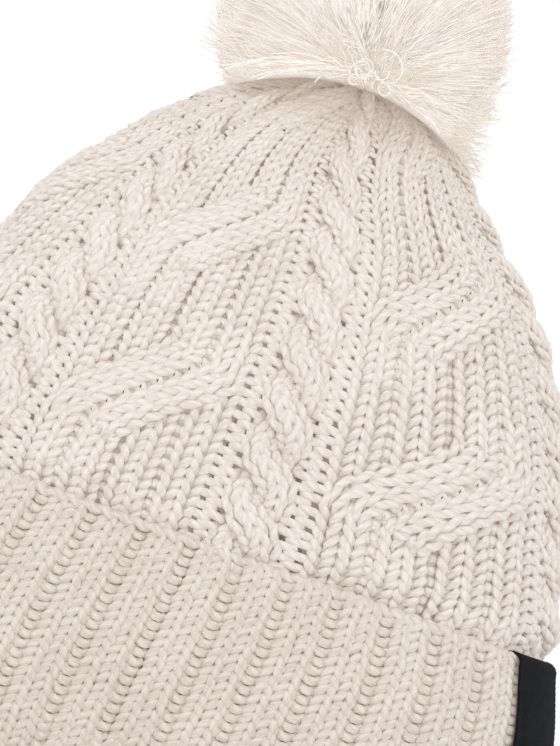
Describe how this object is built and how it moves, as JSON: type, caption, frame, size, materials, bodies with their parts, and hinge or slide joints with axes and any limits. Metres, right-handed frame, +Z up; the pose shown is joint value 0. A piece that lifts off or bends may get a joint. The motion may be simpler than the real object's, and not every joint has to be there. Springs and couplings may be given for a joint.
{
  "type": "knit beanie",
  "caption": "Cuffed cable-knit winter beanie with a deep turned-up rib cuff, a fleece lining, a small woven edge label and a soft yarn pompom on top.",
  "frame": {"origin": "centre of the hat's footprint, on the surface that the fold of its cuff stands on", "axes": "+Z up through the crown and the pompom, front of the hat towards -Y, the label's end of the cuff towards +X"},
  "size_m": [0.2288, 0.1596, 0.2695],
  "materials": {
    "cream_yarn": "soft plied yarn, matt with a light halo of fibre",
    "pompom_yarn": "cut and brushed yarn strands, matt",
    "charcoal_fleece": "brushed fleece, matt",
    "charcoal_thread": "polyester sewing thread, slight sheen",
    "black_woven_label": "tight damask weave, slight sheen",
    "white_satin": "satin tape, soft sheen",
    "white_thread": "polyester sewing thread, slight sheen"
  },
  "bodies": {
    "hat": {"crown_knit": "cream_yarn", "rib_cuff": "cream_yarn", "crown_gather_yarn": "cream_yarn", "back_seam_yarn": "cream_yarn", "pompom_anchor_yarn": "cream_yarn", "anchor_knot": "cream_yarn", "lining_gore_back_right": "charcoal_fleece", "lining_gore_back_left": "charcoal_fleece", "lining_gore_front_left": "charcoal_fleece", "lining_gore_front_right": "charcoal_fleece", "lining_seam_sides": "charcoal_thread", "lining_seam_front_back": "charcoal_thread", "lining_hem_stitch": "charcoal_thread", "lining_crown_tack": "charcoal_thread", "woven_label": "black_woven_label", "woven_label_stitch": "charcoal_thread", "care_label_stitch": "white_thread"},
    "pompom_tie": {"pompom_tie_yarn": "cream_yarn"},
    "pompom": {"pompom_yarn": "pompom_yarn"},
    "care_label": {"care_label": "white_satin"}
  },
  "joints": [
    {"name": "pompom_nod", "type": "hinge", "parent": "hat", "child": "pompom_tie", "pos_m": [0, 0, 0.2095], "axis": [1, 0, 0], "range_deg": [-11, 11], "stiffness_Nm_per_rad": 0.05},
    {"name": "pompom_sway", "type": "hinge", "parent": "pompom_tie", "child": "pompom", "pos_m": [0, 0, 0.2095], "axis": [0, 1, 0], "range_deg": [-11, 11], "stiffness_Nm_per_rad": 0.05},
    {"name": "care_label_flap", "type": "hinge", "parent": "hat", "child": "care_label", "pos_m": [0, 0.0589, 0.07], "axis": [-1, 0, 0], "range_deg": [0, 75]}
  ]
}
